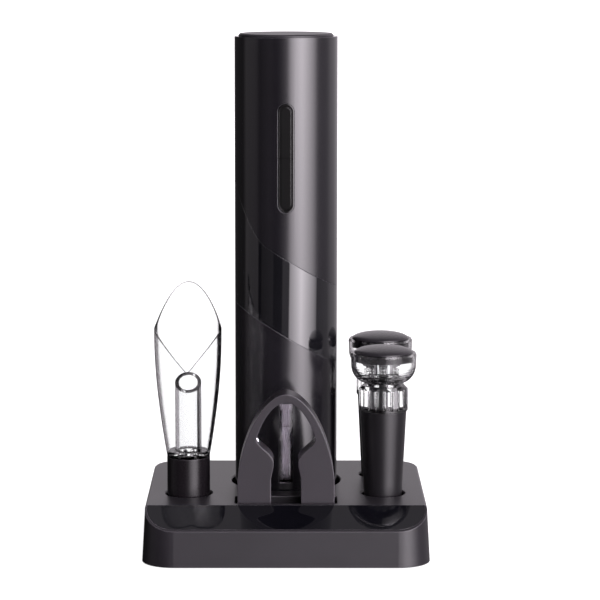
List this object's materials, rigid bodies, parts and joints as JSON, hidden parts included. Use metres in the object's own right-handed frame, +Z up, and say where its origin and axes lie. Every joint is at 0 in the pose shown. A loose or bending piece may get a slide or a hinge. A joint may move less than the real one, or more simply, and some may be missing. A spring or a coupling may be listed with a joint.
{
  "type": "electric wine opener",
  "caption": "Cordless electric corkscrew standing in a storage base with a foil cutter, an aerator pourer and vacuum stoppers.",
  "frame": {"origin": "middle of the base's underside, where the rubber feet stand", "axes": "+Z up along the opener, -Y towards the sloping front panel, +X to the right with the stoppers on the right"},
  "size_m": [0.1362, 0.121, 0.2466],
  "materials": {
    "base_plastic": "satin",
    "floor_plastic": "matte",
    "gloss_black": "high gloss",
    "body_paint": "satin metallic",
    "cap_paint": "matte",
    "pad_foam": "matte",
    "foot_rubber": "matte",
    "ballast_steel": "plain",
    "fastener_steel": "bright",
    "chassis_plastic": "matte",
    "button_black": "high gloss",
    "board_green": "solder mask",
    "port_steel": "plated",
    "cell_wrap": "shrink wrap",
    "motor_steel": "plated",
    "gear_steel": "sintered",
    "gear_brass": "machined",
    "gear_acetal": "moulded",
    "worm_steel": "polished",
    "sleeve_metal": "bright",
    "window_clear": "clear",
    "cutter_plastic": "satin",
    "blade_steel": "ground",
    "stem_plastic": "satin",
    "clear_acrylic": "clear acrylic",
    "sleeve_silicone": "silicone",
    "valve_silicone": "silicone",
    "cap_plastic": "satin",
    "piston_plastic": "moulded"
  },
  "bodies": {
    "base": {"base_shell": "base_plastic", "front_panel": "gloss_black", "well_pads": "pad_foam", "ballast_plate": "ballast_steel", "base_floor": "floor_plastic", "foot_pads": "foot_rubber", "base_screws": "fastener_steel"},
    "opener": {"upper_housing": "body_paint", "gloss_band": "gloss_black", "lower_housing": "body_paint", "top_cap": "cap_paint", "inner_chassis": "chassis_plastic", "switch_bezel": "button_black", "control_board": "board_green", "charge_port": "port_steel", "battery_cells": "cell_wrap", "battery_holder": "floor_plastic", "motor": "motor_steel", "motor_plate": "motor_steel", "motor_screws": "fastener_steel", "ring_gear": "gear_steel", "output_bearing": "port_steel", "guide_sleeve": "chassis_plastic", "bottle_socket": "sleeve_metal", "socket_screws": "fastener_steel", "window_lens": "window_clear"},
    "button": {"rocker_button": "button_black"},
    "sun": {"sun_gear": "gear_brass"},
    "carrier": {"planet_carrier": "motor_steel", "drive_tube": "motor_steel"},
    "planet_1": {"planet_gear_1": "gear_acetal"},
    "planet_2": {"planet_gear_2": "gear_acetal"},
    "planet_3": {"planet_gear_3": "gear_acetal"},
    "worm": {"worm_hub": "worm_steel", "corkscrew": "worm_steel"},
    "foil_cutter": {"cutter_frame": "cutter_plastic", "cutter_axles": "fastener_steel"},
    "wheel_1": {"cutter_wheel_1": "blade_steel"},
    "wheel_2": {"cutter_wheel_2": "blade_steel"},
    "wheel_3": {"cutter_wheel_3": "blade_steel"},
    "wheel_4": {"cutter_wheel_4": "blade_steel"},
    "aerator": {"aerator_stem": "stem_plastic", "aerator_seals": "foot_rubber", "aerator_tube": "clear_acrylic", "aerator_spout": "clear_acrylic"},
    "stopper_1": {"stopper_1_sleeve": "sleeve_silicone", "stopper_1_barrel": "clear_acrylic", "stopper_1_valve": "valve_silicone"},
    "pump_1": {"stopper_1_bowl": "clear_acrylic", "stopper_1_cap": "cap_plastic", "stopper_1_piston": "piston_plastic"},
    "stopper_2": {"stopper_2_sleeve": "sleeve_silicone", "stopper_2_barrel": "clear_acrylic", "stopper_2_valve": "valve_silicone"},
    "pump_2": {"stopper_2_bowl": "clear_acrylic", "stopper_2_cap": "cap_plastic", "stopper_2_piston": "piston_plastic"}
  },
  "joints": [
    {"name": "opener_lift", "type": "slide", "parent": "base", "child": "opener", "axis": [0, 0, 1], "range_m": [0, 0.13]},
    {"name": "rocker_tilt", "type": "hinge", "parent": "opener", "child": "button", "pos_m": [0, -0.0078, 0.1881], "axis": [1, 0, 0], "range_deg": [-2, 2], "stiffness_Nm_per_rad": 0.35},
    {"name": "drive_spin", "type": "hinge", "parent": "opener", "child": "carrier", "pos_m": [0, 0.0142, 0.13785], "axis": [0, 0, -1], "range_deg": [0, 2250]},
    {"name": "sun_spin", "type": "hinge", "parent": "opener", "child": "sun", "pos_m": [0, 0.0142, 0.13785], "axis": [0, 0, -1], "range_deg": [0, 10125]},
    {"name": "planet_1_spin", "type": "hinge", "parent": "carrier", "child": "planet_1", "pos_m": [0.0108, 0.0142, 0.13785], "axis": [0, 0, -1], "range_deg": [-6300, 0]},
    {"name": "planet_2_spin", "type": "hinge", "parent": "carrier", "child": "planet_2", "pos_m": [-0.0054, 0.02355, 0.13785], "axis": [0, 0, -1], "range_deg": [-6300, 0]},
    {"name": "planet_3_spin", "type": "hinge", "parent": "carrier", "child": "planet_3", "pos_m": [-0.0054, 0.00485, 0.13785], "axis": [0, 0, -1], "range_deg": [-6300, 0]},
    {"name": "worm_advance", "type": "slide", "parent": "carrier", "child": "worm", "axis": [0, 0, -1], "range_m": [0, 0.05]},
    {"name": "foil_cutter_lift", "type": "slide", "parent": "base", "child": "foil_cutter", "axis": [0, 0, 1], "range_m": [0, 0.04]},
    {"name": "cutter_wheel_1_spin", "type": "hinge", "parent": "foil_cutter", "child": "wheel_1", "pos_m": [0.01605, -0.0319, 0.05467], "axis": [0, -1, 0], "continuous": true},
    {"name": "cutter_wheel_2_spin", "type": "hinge", "parent": "foil_cutter", "child": "wheel_2", "pos_m": [0.01112, -0.0319, 0.04558], "axis": [0, -1, 0], "continuous": true},
    {"name": "cutter_wheel_3_spin", "type": "hinge", "parent": "foil_cutter", "child": "wheel_3", "pos_m": [-0.01112, -0.0319, 0.04558], "axis": [0, -1, 0], "continuous": true},
    {"name": "cutter_wheel_4_spin", "type": "hinge", "parent": "foil_cutter", "child": "wheel_4", "pos_m": [-0.01605, -0.0319, 0.05467], "axis": [0, -1, 0], "continuous": true},
    {"name": "aerator_lift", "type": "slide", "parent": "base", "child": "aerator", "axis": [0, 0, 1], "range_m": [0, 0.04]},
    {"name": "stopper_1_lift", "type": "slide", "parent": "base", "child": "stopper_1", "axis": [0, 0, 1], "range_m": [0, 0.04]},
    {"name": "stopper_1_pump", "type": "slide", "parent": "stopper_1", "child": "pump_1", "axis": [0, 0, 1], "range_m": [0, 0.012]},
    {"name": "stopper_2_lift", "type": "slide", "parent": "base", "child": "stopper_2", "axis": [0, 0, 1], "range_m": [0, 0.04]},
    {"name": "stopper_2_pump", "type": "slide", "parent": "stopper_2", "child": "pump_2", "axis": [0, 0, 1], "range_m": [0, 0.012]}
  ],
  "couplings": [
    {"joint": "drive_spin", "follows": "worm_advance", "rad_per_m": 785.4},
    {"joint": "sun_spin", "follows": "worm_advance", "rad_per_m": 3534.3},
    {"joint": "planet_1_spin", "follows": "worm_advance", "rad_per_m": -2199.1},
    {"joint": "planet_2_spin", "follows": "worm_advance", "rad_per_m": -2199.1},
    {"joint": "planet_3_spin", "follows": "worm_advance", "rad_per_m": -2199.1}
  ]
}
